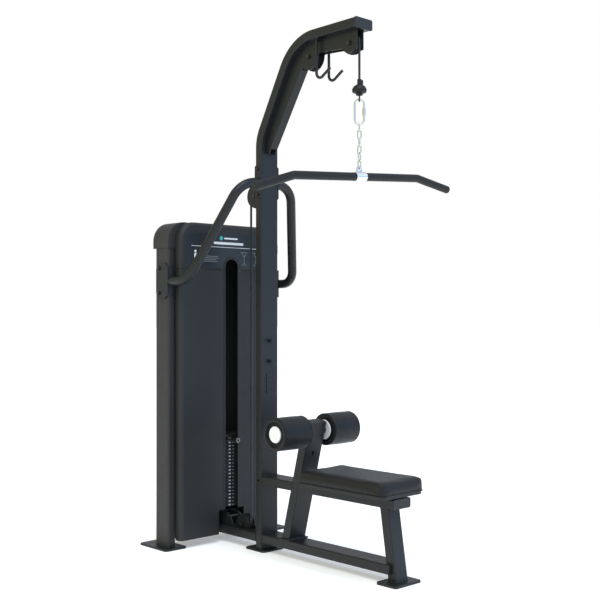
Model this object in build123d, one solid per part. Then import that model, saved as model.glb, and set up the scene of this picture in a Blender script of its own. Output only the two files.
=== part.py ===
from build123d import *
import os
from collections import namedtuple
from math import asin, atan2, cos, hypot, pi, radians, sin, tan

# Lat pulldown machine, in millimetres with +Z up.  The origin is on the floor under the
# centre of the main column.  -Y is the user side with the seat, +Y the weight tower,
# -X is left.  Each entry of `parts` becomes one STEP file.

os.makedirs("parts", exist_ok=True)

SIDES = ((-1, "left"), (1, "right"))

# Frame tube
TUBE_W, TUBE_D = 100.0, 40.0    # wide side, narrow side
TUBE_R = 5.0                    # outer corner radius
WALL = 3.0
FOOT_T = 8.0                    # foot plate thickness
PLUG_W = TUBE_W - 2 * WALL - 1.5    # end plugs sit loose in the tube
PLUG_D = TUBE_D - 2 * WALL - 1.5

# Fasteners and clearances
SMALL_BOLT_R, LARGE_BOLT_R = 4.0, 5.0
SMALL_HOLE_R, LARGE_HOLE_R = SMALL_BOLT_R + 0.1, LARGE_BOLT_R + 0.1
LARGE_HEX = 17.0                # across flats
FIT = 0.05                      # radial gap round axles and guide rods
AXLE_R = 6.0
AXLE_HOLE_R = AXLE_R + FIT
CHEEK_IN, CHEEK_OUT = 15.5, 20.5    # X of the plates on either side of the wheels

# Main column and boom, centre line in the YZ plane
BOOM_Z, BOOM_TIP_Y = 2261.0, -597.0
BOOM_UNDER = BOOM_Z - TUBE_D / 2
COLUMN_LINE = [(0, 0, FOOT_T), (0, 0, 1859.0), (0, -222.6, BOOM_Z), (0, BOOM_TIP_Y, BOOM_Z)]
COLUMN_BENDS = [150.0, 210.0]
COLUMN_FRONT = -TUBE_D / 2
PEG_HEIGHTS = (947.0, 854.0)

# Base beams and seat
BASE_MID, SEAT_BEAM_MID = 58.0, 318.0
BASE_TOP = BASE_MID + TUBE_D / 2
SEAT_BEAM_TOP = SEAT_BEAM_MID + TUBE_D / 2
BASE_FRONT_Y, BASE_REAR_Y = -779.0, 416.0
SEAT_BEAM_END_Y = -806.0
SEAT_X, SEAT_Y0, SEAT_Y1 = 133.0, -822.0, -346.0
SEAT_TOP = 410.0
LEG_W, LEG_D = 70.0, 45.0
LEG_TOP = Vector(0, -744.0, SEAT_BEAM_MID - TUBE_D / 2)
LEG_BOTTOM = Vector(0, -789.0, 10.0)
THIGH_D = 45.0                  # depth of the thigh post tube
THIGH_PLATE_T = 6.0
THIGH_BOTTOM = Vector(0, -179.5, BASE_TOP + THIGH_PLATE_T)
THIGH_TOP = Vector(0, -313.5, 602.0)
THIGH_DIR = (THIGH_TOP - THIGH_BOTTOM).normalized()
ROLL_Y, ROLL_Z, ROLL_R = -304.0, 564.0, 70.0
ROLL_X0, ROLL_X1 = 66.5, 226.0
ROLL_AXLE_R, ROLL_SLEEVE_R = 15.0, 17.5

# Weight tower
POST_X0, POST_X1 = 290.0, 330.0     # inner and outer face of a post
POST_Y, POST_TOP = 350.0, 1369.0
SHROUD_X, SHROUD_Y = 296.0, 252.0
SHEET = 3.0
HEAD_Z0, HEAD_Z1 = 1276.0, 1490.0
SLOT_R = 38.0
SLOT_ARC_Z = 1327.0 - SLOT_R
STACK_Y = 342.0
ROD_X, ROD_R = 125.0, 10.0
PLATE_COUNT, PLATE_T, PLATE_Z0 = 19, 16.5, 150.0
PLATE_X, PLATE_HALF_Y = 165.0, 49.0
STACK_FRONT = STACK_Y - PLATE_HALF_Y
TOP_Z0 = PLATE_Z0 + PLATE_COUNT * PLATE_T
TOP_Z1 = 495.0
PIN_Z = 475.0
SEAT_PLATE_Z0, SEAT_PLATE_Z1 = 130.0, 136.0     # plate under the weight stack

# Arm handles
HANDLE_R = 21.0
FLANGE_X0, FLANGE_X1 = TUBE_W / 2, TUBE_W / 2 + 6
FLANGE_BOLT_Z = (1607.0, 1722.0)
TOWER_BOLT_Y, TOWER_BOLT_Z = 366.0, (1164.0, 1277.0)

# Cable wheels in the order the cable meets them.  radius is the pitch radius,
# turn is +1 anticlockwise or -1 clockwise.
Wheel = namedtuple("Wheel", "y z radius turn")
CABLE_R = 5.0
CABLE_HOLE_R = CABLE_R + 0.02
WHEELS = {
    "tip": Wheel(-540.0, 2190.0, 38.0, -1),
    "boom": Wheel(-297.0, 2178.0, 45.0, -1),
    "column": Wheel(60.0, 1608.0, 49.0, -1),
    "base_front": Wheel(147.0, 95.0, 38.0, 1),
    "base_rear": Wheel(371.0, 88.0, 31.0, 1),
    "tower_top": Wheel(372.0, 1430.0, 30.0, 1),
}
ROUTE = list(WHEELS.values())
HANG_Y = WHEELS["tip"].y - WHEELS["tip"].radius

# Bar and hanger
BAR_Z, BAR_TILT = 1634.0, 4.28
BAR_MID, BAR_END, BAR_DROP = 368.0, 208.0, 13.0     # half straight, bent end, its angle
BAR_R, GRIP_R, BAR_BEND_R = 14.0, 17.0, 70.0
EYE_Z = 1956.0
HANGER_TURN = -43.0             # eye and carabiner are turned this far about Z


# ---------------------------------------------------------------- helpers
def block(x0, x1, y0, y1, z0, z1):
    centre = Pos((x0 + x1) / 2, (y0 + y1) / 2, (z0 + z1) / 2)
    return centre * Box(abs(x1 - x0), abs(y1 - y0), abs(z1 - z0))


def rod_x(radius, x0, x1, y, z):
    return Pos((x0 + x1) / 2, y, z) * Rot(0, 90, 0) * Cylinder(radius, abs(x1 - x0))


def rod_y(radius, y0, y1, x, z):
    return Pos(x, (y0 + y1) / 2, z) * Rot(90, 0, 0) * Cylinder(radius, abs(y1 - y0))


def rod_z(radius, z0, z1, x, y):
    return Pos(x, y, (z0 + z1) / 2) * Cylinder(radius, abs(z1 - z0))


def prism(sketch, start, end, across=(1, 0, 0)):
    """Sketch extruded from start to end, with its own X along `across`."""
    start, end = Vector(start), Vector(end)
    plane = Plane(origin=start, x_dir=across, z_dir=(end - start).normalized())
    return extrude(plane * sketch, amount=(end - start).length)


def hexagon(across_flats):
    return RegularPolygon(across_flats / 2, 6, major_radius=False)


def hex_x(across_flats, x0, x1, y, z):
    x0, x1 = sorted((x0, x1))
    return prism(hexagon(across_flats), (x0, y, z), (x1, y, z), across=(0, 1, 0))


def outline_face(points):
    return make_face(Polyline(*points, close=True).edges())


def yz_plate(outline, x0, x1):
    """Plate between x0 and x1 with an outline of (Y, Z) points."""
    x0, x1 = sorted((x0, x1))
    face = outline_face([(0, y, z) for y, z in outline])
    return Pos(x0, 0, 0) * extrude(face, amount=x1 - x0, dir=(1, 0, 0))


def bent_path(points, radii):
    """Wire of straight lines joined by tangent arcs."""
    points = [Vector(*point) for point in points]
    edges = []
    current = points[0]
    for before, corner, after, radius in zip(points, points[1:], points[2:], radii):
        back = (before - corner).normalized()
        ahead = (after - corner).normalized()
        half_angle = radians(back.get_angle(ahead)) / 2
        trim = radius / tan(half_angle)
        arc_start, arc_end = corner + back * trim, corner + ahead * trim
        centre = corner + (back + ahead).normalized() * (radius / sin(half_angle))
        arc_mid = centre + (corner - centre).normalized() * radius
        edges.append(Line(current, arc_start))
        edges.append(ThreePointArc(arc_start, arc_mid, arc_end))
        current = arc_end
    edges.append(Line(current, points[-1]))
    return Wire([edge.edge() for edge in edges])


def round_tube(points, radii, outer_r, inner_r=None):
    """Bent round tube, or a solid bar when inner_r is left out."""
    wire = bent_path(points, radii)
    start = Vector(*points[0])
    direction = (Vector(*points[1]) - start).normalized()
    across = (1, 0, 0) if abs(direction.X) < 0.9 else (0, 1, 0)
    plane = Plane(origin=start, x_dir=across, z_dir=direction)
    tube = sweep(plane * Circle(outer_r), path=wire)
    if inner_r:
        tube = tube - sweep(plane * Circle(inner_r), path=wire)
    return tube


def tube_bore(width, depth, corner):
    return RectangleRounded(width - 2 * WALL, depth - 2 * WALL, corner - WALL)


def straight_bar(start, end, width=TUBE_W, depth=TUBE_D, corner=TUBE_R, across=(1, 0, 0)):
    return prism(RectangleRounded(width, depth, corner), start, end, across)


def straight_tube(start, end, width=TUBE_W, depth=TUBE_D, corner=TUBE_R, across=(1, 0, 0)):
    outer = straight_bar(start, end, width, depth, corner, across)
    return outer - prism(tube_bore(width, depth, corner), start, end, across)


def y_slab(y_from, y_to, z, width, height, corner):
    """Rounded rectangle on X = 0, extruded along Y."""
    return prism(RectangleRounded(width, height, corner), (0, y_from, z), (0, y_to, z))


def foot_plate(x0, x1, y0, y1, z0, z1, corner=18.0):
    x, y = (x0 + x1) / 2, (y0 + y1) / 2
    outline = RectangleRounded(abs(x1 - x0), y1 - y0, corner)
    plate = prism(outline, (x, y, z0), (x, y, z1))
    return chamfer(plate.edges().group_by(Axis.Z)[-1], 1.5)


def cheek(side, outline, lobes=(), cuts=(), holes=()):
    """Wheel side plate: lobes are (wheel, radius), holes are (radius, y, z)."""
    plate = yz_plate(outline, side * CHEEK_IN, side * CHEEK_OUT)
    for wheel, radius in lobes:
        plate = plate + rod_x(radius, side * CHEEK_IN, side * CHEEK_OUT, wheel.y, wheel.z)
    for cut in cuts:
        plate = plate - cut
    for radius, y, z in holes:
        plate = plate - rod_x(radius, side * (CHEEK_IN - 1), side * (CHEEK_OUT + 1), y, z)
    return plate


def axle_hole(wheel):
    return AXLE_HOLE_R, wheel.y, wheel.z


def largest(solids):
    return max(solids, key=lambda solid: solid.volume)


parts = {}


def add(name, *shapes):
    """Collect the solids of the shapes under one part name."""
    for shape in shapes:
        parts.setdefault(name, []).extend(shape.solids())


# ------------------------------------------------------------------ cable
def tangent(first, second):
    """Points where the straight run between two wheels leaves and arrives."""
    dy, dz = second.y - first.y, second.z - first.z
    slant = (second.turn * second.radius - first.turn * first.radius) / hypot(dy, dz)
    angle = atan2(dz, dy) - asin(slant)
    return [(w.y + w.turn * w.radius * sin(angle), w.z - w.turn * w.radius * cos(angle))
            for w in (first, second)]


RUNS = [tangent(first, second) for first, second in zip(ROUTE, ROUTE[1:])]


def cable_wire():
    last = ROUTE[-1]
    arrivals = [(HANG_Y, ROUTE[0].z)] + [run[1] for run in RUNS]
    departures = [run[0] for run in RUNS] + [(last.y - last.radius, last.z)]
    edges = []
    for i, wheel in enumerate(ROUTE):
        start, end = arrivals[i], departures[i]
        angle0 = atan2(start[1] - wheel.z, start[0] - wheel.y)
        angle1 = atan2(end[1] - wheel.z, end[0] - wheel.y)
        while wheel.turn > 0 and angle1 < angle0:
            angle1 += 2 * pi
        while wheel.turn < 0 and angle1 > angle0:
            angle1 -= 2 * pi
        middle = (angle0 + angle1) / 2
        arc_mid = (0, wheel.y + wheel.radius * cos(middle), wheel.z + wheel.radius * sin(middle))
        edges.append(ThreePointArc((0, *start), arc_mid, (0, *end)).edge())
        if i < len(RUNS):
            edges.append(Line((0, *RUNS[i][0]), (0, *RUNS[i][1])).edge())
    return Wire(edges)


cable_start = Plane(origin=(0, HANG_Y, ROUTE[0].z), x_dir=(1, 0, 0), z_dir=(0, 0, 1))
add("cable_main", sweep(cable_start * Circle(CABLE_R), path=cable_wire()))

# clearance round the run from the boom wheel to the column wheel
cable_clearance = prism(Circle(9.0), (0, *RUNS[1][0]), (0, *RUNS[1][1]))

# -------------------------------------------------------- column and boom
column_wire = bent_path(COLUMN_LINE, COLUMN_BENDS)
column_plane = Plane(origin=COLUMN_LINE[0], x_dir=(1, 0, 0), z_dir=(0, 0, 1))
column_outer = sweep(column_plane * RectangleRounded(TUBE_W, TUBE_D, TUBE_R), path=column_wire)


def main_column():
    bore = sweep(column_plane * tube_bore(TUBE_W, TUBE_D, TUBE_R), path=column_wire)
    cable_slot = block(-10.5, 10.5, 12, 26, 1546, 1785)
    column = column_outer - bore - cable_clearance - cable_slot
    for side, _ in SIDES:
        for z in FLANGE_BOLT_Z:
            column = column - rod_x(SMALL_HOLE_R, side * 40, side * 60, 0, z)
    for z in PEG_HEIGHTS:
        column = column - rod_y(SMALL_HOLE_R, -26, -10, 0, z)
    return column - rod_x(LARGE_HOLE_R, -60, 60, 0, SEAT_BEAM_MID)


def boom_cap():
    cap = y_slab(BOOM_TIP_Y, BOOM_TIP_Y - 8, BOOM_Z, width=104, height=45, corner=9)
    cap = fillet(cap.faces().sort_by(Axis.Y)[0].edges(), 3)
    return cap + y_slab(BOOM_TIP_Y + 16, BOOM_TIP_Y, BOOM_Z, PLUG_W, PLUG_D, 4)


add("main_column", main_column())
add("foot_plates", foot_plate(-65, 65, -52, 80, 0, FOOT_T))
add("tube_end_caps", boom_cap())

# Outline (Y, Z) of the tapering gusset that carries the tip and boom wheels
GUSSET = [
    (-14, 1800), (-30, 1789), (-38, 1791), (-46, 1806), (-256, 2141),
    (-297, 2150), (-345, 2176), (-362, 2183), (-500, 2174), (-540, 2156),
    (-583, 2160), (-583, 2255), (-300, 2262), (-200, 2215), (-30, 1900),
]


def gusset_plate(side):
    tip, boom = WHEELS["tip"], WHEELS["boom"]
    plate = cheek(side, GUSSET, lobes=[(boom, 57.0), (tip, 42.0)],
                  cuts=[block(-30, 30, -640, -583, 2000, 2300), column_outer],
                  holes=[axle_hole(boom), axle_hole(tip)])
    return largest(plate.solids())


def gusset_web():
    """Strip between the side plates along the long lower edge of the gusset."""
    start, end = Vector(0, *GUSSET[3]), Vector(0, *GUSSET[4])
    direction = (end - start).normalized()
    inward = Vector(0, direction.Z, -direction.Y)
    # (distance along the edge, distance inward)
    corners = [(6, 0), (384, 0), (384, 4), (6, 4)]
    points = [start + direction * along + inward * depth for along, depth in corners]
    web = yz_plate([(point.Y, point.Z) for point in points], -CHEEK_IN, CHEEK_IN)
    return largest((web - column_outer - cable_clearance).solids())


add("boom_gusset", gusset_plate(-1), gusset_plate(1), gusset_web())


# ----------------------------------------------------- wheels and brackets
def pulley(wheel):
    """Grooved wheel turning about X, with a boss and a recessed web."""
    bore, boss = AXLE_R + 0.06, 14
    groove = wheel.radius - CABLE_R - 0.2
    web, rim = groove - 6, wheel.radius + 7.0
    # half section as (radius, X)
    profile = [
        (bore, -11), (boss, -11), (boss, -4.5), (web, -4.5), (web, -8.5),
        (rim - 1, -8.5), (rim, -7.5), (rim, -6.6), (groove, -5.3), (groove, 5.3),
        (rim, 6.6), (rim, 7.5), (rim - 1, 8.5), (web, 8.5), (web, 4.5),
        (boss, 4.5), (boss, 11), (bore, 11),
    ]
    body = revolve(outline_face([(x, 0, radius) for radius, x in profile]), axis=Axis.X)
    return Pos(0, wheel.y, wheel.z) * body


def axle_bolt_and_nut(wheel):
    y, z = wheel.y, wheel.z
    bolt = rod_x(AXLE_R, -CHEEK_OUT - 9, CHEEK_OUT + 11, y, z)
    bolt = bolt + hex_x(LARGE_HEX, -CHEEK_OUT - 10, -CHEEK_OUT, y, z)
    nut = hex_x(LARGE_HEX, CHEEK_OUT, CHEEK_OUT + 9, y, z)
    return bolt, nut - rod_x(AXLE_R + 0.02, CHEEK_OUT - 1, CHEEK_OUT + 12, y, z)


def spacer(wheel, side):
    """Spacer beside the boss; on the -X side the bore stops 1 mm inside both faces."""
    x0, x1 = side * 11.15, side * CHEEK_IN
    body = rod_x(9, x0, x1, wheel.y, wheel.z)
    return body - rod_x(AXLE_R + 0.08, x0 - 1, x1 + 1, wheel.y, wheel.z)


for place, wheel in WHEELS.items():
    add("pulley_" + place, pulley(wheel))
for wheel in ROUTE:
    add("pulley_axles", *axle_bolt_and_nut(wheel))
for wheel in ROUTE:
    add("pulley_axles", spacer(wheel, -1), spacer(wheel, 1))

# Bracket outlines (Y, Z) and the bolt that ties the column bracket
COLUMN_BRACKET = [(20, 1726), (33, 1726), (52, 1700), (104, 1634), (60, 1560), (34, 1548),
                  (20, 1548)]
BASE_FRONT_BRACKET = [(101, 78), (193, 78), (193, 92), (147, 130), (101, 92)]
BASE_REAR_BRACKET = [(334, 78), (408, 78), (408, 92), (390, 112), (352, 112), (334, 92)]
TOWER_BRACKET = [(332, 1380), (386, 1380), (394, 1430), (372, 1452), (350, 1430)]
TIE_Y, TIE_Z = 34, 1711

for side, _ in SIDES:
    wheel = WHEELS["column"]
    add("pulley_brackets",
        cheek(side, COLUMN_BRACKET, lobes=[(wheel, 53)],
              cuts=[block(-30, 30, -60, 20, 1500, 1800)],
              holes=[axle_hole(wheel), (SMALL_HOLE_R, TIE_Y, TIE_Z)]))
add("frame_bolts",
    rod_x(SMALL_BOLT_R, -CHEEK_OUT, CHEEK_OUT, TIE_Y, TIE_Z)
    + hex_x(13, -CHEEK_OUT - 6, -CHEEK_OUT, TIE_Y, TIE_Z)
    + hex_x(13, CHEEK_OUT, CHEEK_OUT + 6, TIE_Y, TIE_Z))
for side, _ in SIDES:
    wheel = WHEELS["base_front"]
    add("pulley_brackets",
        cheek(side, BASE_FRONT_BRACKET, lobes=[(wheel, 44)],
              cuts=[block(-30, 30, 60, 230, 20, BASE_TOP)], holes=[axle_hole(wheel)]),
        cheek(side, BASE_REAR_BRACKET, holes=[axle_hole(WHEELS["base_rear"])]))


# ---------------------------------------------------------- storage hooks
def storage_hook(x):
    """Bent rod hanging from the boom."""
    y = -363
    hook = round_tube([(x, y, BOOM_UNDER), (x, y, 2051), (x, -444, 2102)], [24.0], 6.0)
    return largest((hook - column_outer).solids())


def hook_pad(x):
    y = -363
    pad = block(x - 12, x + 12, y - 20, y + 20, BOOM_UNDER - 5, BOOM_UNDER)
    return pad - rod_z(6.0, 2230, 2245, x, y) - column_outer


for x in (-37.0, 37.0):
    add("bar_storage_hooks", storage_hook(x), hook_pad(x))

# ------------------------------------------------------------- base beams
# the leg tube is made 30 mm too long at both ends, then trimmed
leg_dir = (LEG_TOP - LEG_BOTTOM).normalized()
leg_ends = (LEG_BOTTOM - leg_dir * 30, LEG_TOP + leg_dir * 30)
leg_outer = straight_bar(*leg_ends, LEG_W, LEG_D)


def base_beam_front():
    beam = straight_tube((0, COLUMN_FRONT, BASE_MID), (0, -800, BASE_MID))
    beam = beam - block(-80, 80, -900, BASE_FRONT_Y, 30, 90) - leg_outer
    return largest(beam.solids())


def base_front_cap():
    """Cap and plug pieces left on either side of the seat leg."""
    cap = block(-50, 50, BASE_FRONT_Y - 4, BASE_FRONT_Y, 38, 78)
    cap = cap + block(-46, 46, BASE_FRONT_Y, BASE_FRONT_Y + 9, 42, 74) - leg_outer
    return [solid for solid in cap.solids() if solid.volume > 500]


def base_beam_rear():
    """Rear beam with openings in its top wall under both base wheels."""
    beam = straight_tube((0, TUBE_D / 2, BASE_MID), (0, BASE_REAR_Y, BASE_MID))
    return beam - block(-12, 12, 95, 200, 70, 90) - block(-12, 12, 330, 412, 70, 90)


def base_rear_cap():
    cap = y_slab(BASE_REAR_Y, BASE_REAR_Y + 4, BASE_MID, TUBE_W, TUBE_D, 6)
    plug = y_slab(BASE_REAR_Y - 12, BASE_REAR_Y, BASE_MID, PLUG_W, PLUG_D, 3)
    return cap + (plug - block(-12, 12, 400, 416, 40, 80))


add("base_beam_front", base_beam_front())
add("tube_end_caps", *base_front_cap())
add("base_beam_rear", base_beam_rear())
add("tube_end_caps", base_rear_cap())

# ---------------------------------------------------------- thigh support
SCREW_Z = 472
screw_y = THIGH_BOTTOM.Y + (SCREW_Z - THIGH_BOTTOM.Z) * THIGH_DIR.Y / THIGH_DIR.Z
screw_origin = Vector(0, screw_y, SCREW_Z)
post_forward = Vector(0, -THIGH_DIR.Z, THIGH_DIR.Y)     # square to the post, to the user

thigh_ends = (THIGH_BOTTOM - THIGH_DIR * 40, THIGH_TOP)
below_post = block(-80, 80, -400, 0, -50, THIGH_BOTTOM.Z)
thigh_post_outer = straight_bar(*thigh_ends, TUBE_W, THIGH_D) - below_post


def from_post(sketch, depth0, depth1):
    """Sketch extruded forward, depths measured from the post centre line."""
    return prism(sketch, screw_origin + post_forward * depth0,
                 screw_origin + post_forward * depth1)


def thigh_post():
    post = straight_tube(*thigh_ends, TUBE_W, THIGH_D) - below_post
    post = post - rod_x(ROLL_SLEEVE_R, -70, 70, ROLL_Y, ROLL_Z)
    return largest((post - from_post(Circle(9.0), 0, 40)).solids())


def post_screw():
    """Cup in the front of the post with a socket screw inside."""
    screw = from_post(Circle(8.97), 5.0, 21.5) - from_post(Circle(7.6), 7.5, 27.0)
    screw = screw + from_post(Circle(5.2), 7.0, 11.5)
    return screw - from_post(RegularPolygon(2.6, 6), 9.0, 17.0)


add("thigh_post", thigh_post())
add("tube_end_caps", straight_bar(THIGH_TOP, THIGH_TOP + THIGH_DIR * 5, TUBE_W, THIGH_D))
add("foot_plates", foot_plate(-58, 58, -215, -146, BASE_TOP, THIGH_BOTTOM.Z, corner=5))
add("frame_bolts", post_screw())


# ----------------------------------------------------------------- roller
def roll(radius, x0, x1):
    return rod_x(radius, x0, x1, ROLL_Y, ROLL_Z)


FOAM_BORE_R, DISC_R = 27, 53.5


def roller_foam(side):
    foam = roll(ROLL_R, side * ROLL_X0, side * ROLL_X1) - roll(FOAM_BORE_R, side * 60, side * 240)
    foam = foam - roll(DISC_R + 0.5, side * (ROLL_X0 - 1), side * (ROLL_X0 + 8))
    return foam - roll(DISC_R + 0.5, side * (ROLL_X1 - 12), side * (ROLL_X1 + 1))


def roller_core(side):
    """Hub with a disc recessed in each end of the foam."""
    core = roll(FOAM_BORE_R, side * ROLL_X0, side * (ROLL_X1 - 8))
    core = core + roll(DISC_R, side * (ROLL_X0 + 4), side * (ROLL_X0 + 8))
    core = core + roll(DISC_R, side * (ROLL_X1 - 12), side * (ROLL_X1 - 8))
    return core - roll(ROLL_AXLE_R + 0.08, side * 60, side * 240)


def roller_cap(side):
    """Outer cap, rounded on its outer edge, with a ring groove in its face."""
    cap = roll(35, side * (ROLL_X1 - 7.6), side * (ROLL_X1 - 1.5))
    cap = fillet(cap.edges().sort_by(Axis.X)[-1 if side > 0 else 0], 3.0)
    cap = cap - roll(ROLL_AXLE_R + FIT, side * 200, side * 222)
    groove = roll(9, side * (ROLL_X1 - 2.6), side * ROLL_X1)
    return cap - (groove - roll(6.5, side * (ROLL_X1 - 3), side * (ROLL_X1 + 1)))


def roller_collar(side):
    """Collar between the sleeve and the foam, rounded on its inner edge."""
    collar = roll(43, side * 60.5, side * 65.9)
    collar = fillet(collar.edges().sort_by(Axis.X)[0 if side > 0 else -1], 2.0)
    return collar - roll(ROLL_AXLE_R + FIT, side * 55, side * 70)


add("roller_sleeve", roll(ROLL_SLEEVE_R, -60, 60) - roll(ROLL_AXLE_R + FIT, -61, 61))
add("roller_axle", roll(ROLL_AXLE_R, -222, 222))
for side, side_name in SIDES:
    add("roller_foam_" + side_name, roller_foam(side))
    add("roller_core_" + side_name, roller_core(side))
    add("roller_chrome", roller_cap(side), roller_collar(side))

# ------------------------------------------------------------------- seat
STRAP_YS, STRAP_T = (-420, -740), 6
SEAT_BOLT_X = 85
SEAT_BOLT_TOP = SEAT_BEAM_TOP + 14
SEAT_BOLTS = [(side * SEAT_BOLT_X, y) for y in STRAP_YS for side, _ in SIDES]
BOARD_Z0, BOARD_T = SEAT_BEAM_TOP + STRAP_T, 12
PAD_Z0 = BOARD_Z0 + BOARD_T + 0.2
SEAT_MID_Y, SEAT_LENGTH = (SEAT_Y0 + SEAT_Y1) / 2, SEAT_Y1 - SEAT_Y0


def seat_beam_cap():
    cap = y_slab(SEAT_BEAM_END_Y, SEAT_BEAM_END_Y - 6, SEAT_BEAM_MID, 101, 41, 7)
    cap = fillet(cap.faces().sort_by(Axis.Y)[0].edges(), 2.5)
    return cap + y_slab(SEAT_BEAM_END_Y + 14, SEAT_BEAM_END_Y, SEAT_BEAM_MID,
                        PLUG_W, PLUG_D, 3)


def seat_leg():
    leg = straight_tube(*leg_ends, LEG_W, LEG_D)
    leg = leg - block(-80, 80, -900, -600, LEG_TOP.Z, 400)
    leg = leg - block(-80, 80, -900, -600, -60, LEG_BOTTOM.Z)
    return largest(leg.solids())


def seat_strap(y):
    strap = block(-105, 105, y - 20, y + 20, SEAT_BEAM_TOP, BOARD_Z0)
    for side, _ in SIDES:
        strap = strap - rod_z(SMALL_HOLE_R, 330, 350, side * SEAT_BOLT_X, y)
    return strap


def seat_bolt(x, y):
    shank = rod_z(SMALL_BOLT_R, SEAT_BEAM_TOP, SEAT_BOLT_TOP, x, y)
    return shank + prism(hexagon(13), (x, y, SEAT_BEAM_TOP - 5.5), (x, y, SEAT_BEAM_TOP))


def seat_slab(z0, thickness, inset):
    """Slab with a wide radius on the front corners and a small one on the rear."""
    outline = Rectangle(2 * (SEAT_X - inset), SEAT_LENGTH - 2 * inset)
    slab = extrude(Pos(0, SEAT_MID_Y, z0) * outline, amount=thickness)
    slab = fillet(slab.edges().filter_by(Axis.Z).sort_by(Axis.Y)[:2], 30)
    return fillet(slab.edges().filter_by(Axis.Z).sort_by(Axis.Y)[-2:], 7)


def seat_board():
    board = largest((seat_slab(BOARD_Z0, BOARD_T, inset=5) - thigh_post_outer).solids())
    for x, y in SEAT_BOLTS:
        board = board - rod_z(SMALL_HOLE_R, 330, SEAT_BOLT_TOP, x, y)
    return board


def seat_cushion():
    pad = seat_slab(PAD_Z0, SEAT_TOP - PAD_Z0, inset=0)
    return fillet(pad.edges().group_by(Axis.Z)[-1], 5)


# one tube, split by the thigh post into the seat beam and the column tie
long_beam = straight_tube((0, COLUMN_FRONT, SEAT_BEAM_MID), (0, SEAT_BEAM_END_Y, SEAT_BEAM_MID))
beam_pieces = (long_beam - thigh_post_outer).solids()
add("seat_beam", largest([piece for piece in beam_pieces if piece.center().Y < -260]))
add("column_tie_beam", largest([piece for piece in beam_pieces if piece.center().Y > -200]))
add("tube_end_caps", seat_beam_cap())
add("seat_leg", seat_leg())
add("foot_plates", foot_plate(-78, 78, -846, -739, 0, LEG_BOTTOM.Z, corner=12))
add("seat_straps", *[seat_strap(y) for y in STRAP_YS])
add("frame_bolts", *[seat_bolt(x, y) for x, y in SEAT_BOLTS])
add("seat_board", seat_board())
add("seat_cushion", seat_cushion())

# ------------------------------------------------------------ arm handles
# Outline (Y, Z) of the bracket plate on the outer face of a tower post
HANDLE_BRACKET = [(294, 1164), (294, 1274), (320, 1300), (362, 1300),
                  (388, 1274), (388, 1164), (362, 1137), (320, 1137)]


def tower_bolt_hole(side, z):
    return rod_x(LARGE_HOLE_R, side * 320, side * 345, TOWER_BOLT_Y, z)


def handle(side):
    """Tube from the tower bracket forward, then up and in to the column."""
    points = [(side * 318, 294, 1217), (side * 318, 171, 1217),
              (side * 148, 0, 1660), (side * FLANGE_X1, 0, 1660)]
    return round_tube(points, [100.0, 115.0], HANDLE_R, HANDLE_R - 2.5)


def handle_flange(side):
    x0, x1 = sorted((side * FLANGE_X0, side * FLANGE_X1))
    z_mid = sum(FLANGE_BOLT_Z) / 2
    flange = prism(RectangleRounded(38, 147, 8), (x0, 0, z_mid), (x1, 0, z_mid), (0, 1, 0))
    for z in FLANGE_BOLT_Z:
        flange = flange - rod_x(SMALL_HOLE_R, x0 - 1, x1 + 1, 0, z)
    return flange


def handle_bracket(side):
    bracket = yz_plate(HANDLE_BRACKET, side * POST_X1, side * (POST_X1 + 6))
    front = block(side * (SHROUD_X + 0.5), side * (POST_X1 + 9), 294, 300, 1152, 1286)
    bracket = bracket + front
    for z in TOWER_BOLT_Z:
        bracket = bracket - tower_bolt_hole(side, z)
    return bracket


def flange_bolt(side, z):
    return (rod_x(SMALL_BOLT_R, side * 44, side * 58, 0, z)
            + hex_x(14, side * FLANGE_X1, side * (FLANGE_X1 + 6.5), 0, z))


def tower_bolt(side, z):
    head_x = side * (POST_X1 + 6)
    return (rod_x(LARGE_BOLT_R, side * 322, side * 338, TOWER_BOLT_Y, z)
            + hex_x(LARGE_HEX, head_x, head_x + side * 7.5, TOWER_BOLT_Y, z))


for side, side_name in SIDES:
    add("handle_" + side_name, handle(side))
    add("handle_mounts", handle_flange(side), handle_bracket(side))
for side, _ in SIDES:
    add("frame_bolts", *[flange_bolt(side, z) for z in FLANGE_BOLT_Z])
    add("frame_bolts", *[tower_bolt(side, z) for z in TOWER_BOLT_Z])


# -------------------------------------------------------- column fittings
def column_peg(z):
    """Pin, washer, neck and head on the front of the column."""
    return (rod_y(SMALL_BOLT_R, -30, -14, 0, z) + rod_y(9.0, -24, -20, 0, z)
            + rod_y(6.0, -34, -24, 0, z) + rod_y(8.5, -40, -34, 0, z))


def info_plate():
    """Small plate with two columns of three shallow pockets."""
    plate = y_slab(COLUMN_FRONT, COLUMN_FRONT - 2.5, 755.5, width=40, height=92, corner=5)
    for row in (-1, 0, 1):
        z = 755.6 + row * 24.9
        for x in (-9, 9):
            plate = plate - block(x - 5.5, x + 5.5, -24, -21.2, z - 3, z + 3)
    return plate


add("column_fittings", *[column_peg(z) for z in PEG_HEIGHTS])
add("column_fittings", info_plate())


# ----------------------------------------------------------- weight tower
def tower_post(side):
    x = side * (POST_X0 + POST_X1) / 2
    post = straight_tube((x, POST_Y, FOOT_T), (x, POST_Y, POST_TOP), 40, 100, 8)
    for z in TOWER_BOLT_Z:
        post = post - tower_bolt_hole(side, z)
    return post


def low_cross(side):
    return straight_tube((side * TUBE_W / 2, POST_Y, BASE_MID),
                         (side * POST_X0, POST_Y, BASE_MID), 60, 40, across=(0, 1, 0))


def top_cross():
    """Cross tube with holes for the cable and the guide rods."""
    cross = straight_tube((-POST_X0, 347, 1360), (POST_X0, 347, 1360), 80, 40, across=(0, 1, 0))
    cross = cross - rod_z(9, 1330, 1390, 0, STACK_Y)
    for side, _ in SIDES:
        cross = cross - rod_z(ROD_R + FIT, 1330, 1372, side * ROD_X, STACK_Y)
    return cross


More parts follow.
